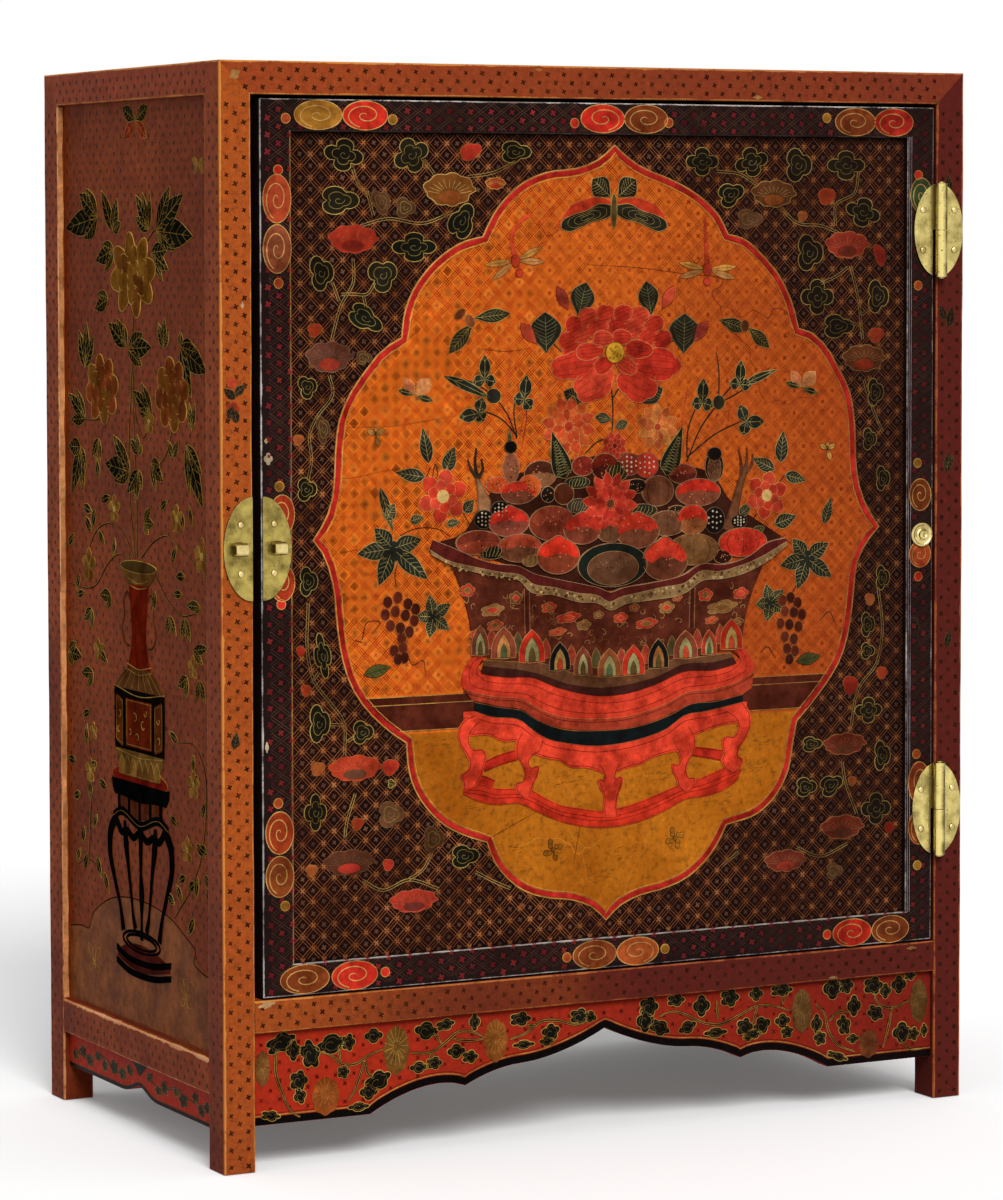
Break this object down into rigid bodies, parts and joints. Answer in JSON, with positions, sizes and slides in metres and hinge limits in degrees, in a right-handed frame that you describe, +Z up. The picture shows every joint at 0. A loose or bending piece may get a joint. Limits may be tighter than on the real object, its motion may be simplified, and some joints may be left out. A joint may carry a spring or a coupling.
{
  "type": "cabinet",
  "caption": "Upright lacquered wooden cabinet on post feet, with framed panels, shaped aprons, an inset door on half-oval brass hinges and a pair of brass padlock staples.",
  "frame": {"origin": "bottom centre of the cabinet's bounding box, on the floor, brass fittings included", "axes": "+Z up along the posts, +X to the right as seen from the front, +Y towards the back; the door faces -Y"},
  "size_m": [0.614, 0.3396, 0.78],
  "materials": {
    "red_lacquer": "worn red-brown lacquer with small dark floral marks",
    "brown_lacquer": "worn brown lacquer with painted decoration",
    "dark_lacquer": "near-black lacquer with small red marks",
    "picture_lacquer": "painted and gilded lacquer",
    "apron_lacquer": "red lacquer with painted scrolls",
    "bare_wood": "unfinished softwood",
    "brass": "worn polished sheet brass"
  },
  "bodies": {
    "case": {"post_front_left": "red_lacquer", "post_front_right": "red_lacquer", "post_back_left": "red_lacquer", "post_back_right": "red_lacquer", "rail_top_front": "red_lacquer", "rail_top_back": "red_lacquer", "rail_top_left": "red_lacquer", "rail_top_right": "red_lacquer", "rail_bottom_front": "red_lacquer", "rail_bottom_back": "red_lacquer", "rail_bottom_left": "red_lacquer", "rail_bottom_right": "red_lacquer", "panel_left": "brown_lacquer", "panel_right": "brown_lacquer", "panel_back": "dark_lacquer", "panel_top": "red_lacquer", "batten_top": "bare_wood", "batten_floor": "bare_wood", "panel_floor": "bare_wood", "shelf": "bare_wood", "bearer_floor_left": "bare_wood", "bearer_floor_right": "bare_wood", "bearer_shelf_left": "bare_wood", "bearer_shelf_right": "bare_wood", "door_stop": "dark_lacquer", "apron_front": "apron_lacquer", "apron_back": "dark_lacquer", "apron_left": "apron_lacquer", "apron_right": "apron_lacquer", "hinge_upper_post_leaf": "brass", "hinge_upper_pin": "brass", "hinge_lower_post_leaf": "brass", "hinge_lower_pin": "brass", "nail_hinge_upper_post_top": "brass", "nail_hinge_upper_post_low": "brass", "nail_hinge_lower_post_top": "brass", "nail_hinge_lower_post_low": "brass", "lock_plate_post": "brass", "staple_post": "brass", "nail_lock_post_top": "brass", "nail_lock_post_low": "brass"},
    "door": {"door_stile_left": "dark_lacquer", "door_stile_right": "dark_lacquer", "door_rail_bottom": "dark_lacquer", "door_rail_top": "dark_lacquer", "door_panel": "picture_lacquer", "door_batten_upper": "bare_wood", "door_batten_lower": "bare_wood", "hinge_upper_door_leaf": "brass", "hinge_lower_door_leaf": "brass", "nail_hinge_upper_door_top": "brass", "nail_hinge_upper_door_low": "brass", "nail_hinge_lower_door_top": "brass", "nail_hinge_lower_door_low": "brass", "lock_plate_door": "brass", "staple_door": "brass", "nail_lock_door_top": "brass", "nail_lock_door_low": "brass", "door_boss": "brass"}
  },
  "joints": [
    {"name": "door_swing", "type": "hinge", "parent": "case", "child": "door", "pos_m": [0.284, -0.16515, 0], "axis": [0, 0, 1], "range_deg": [0, 180]}
  ]
}
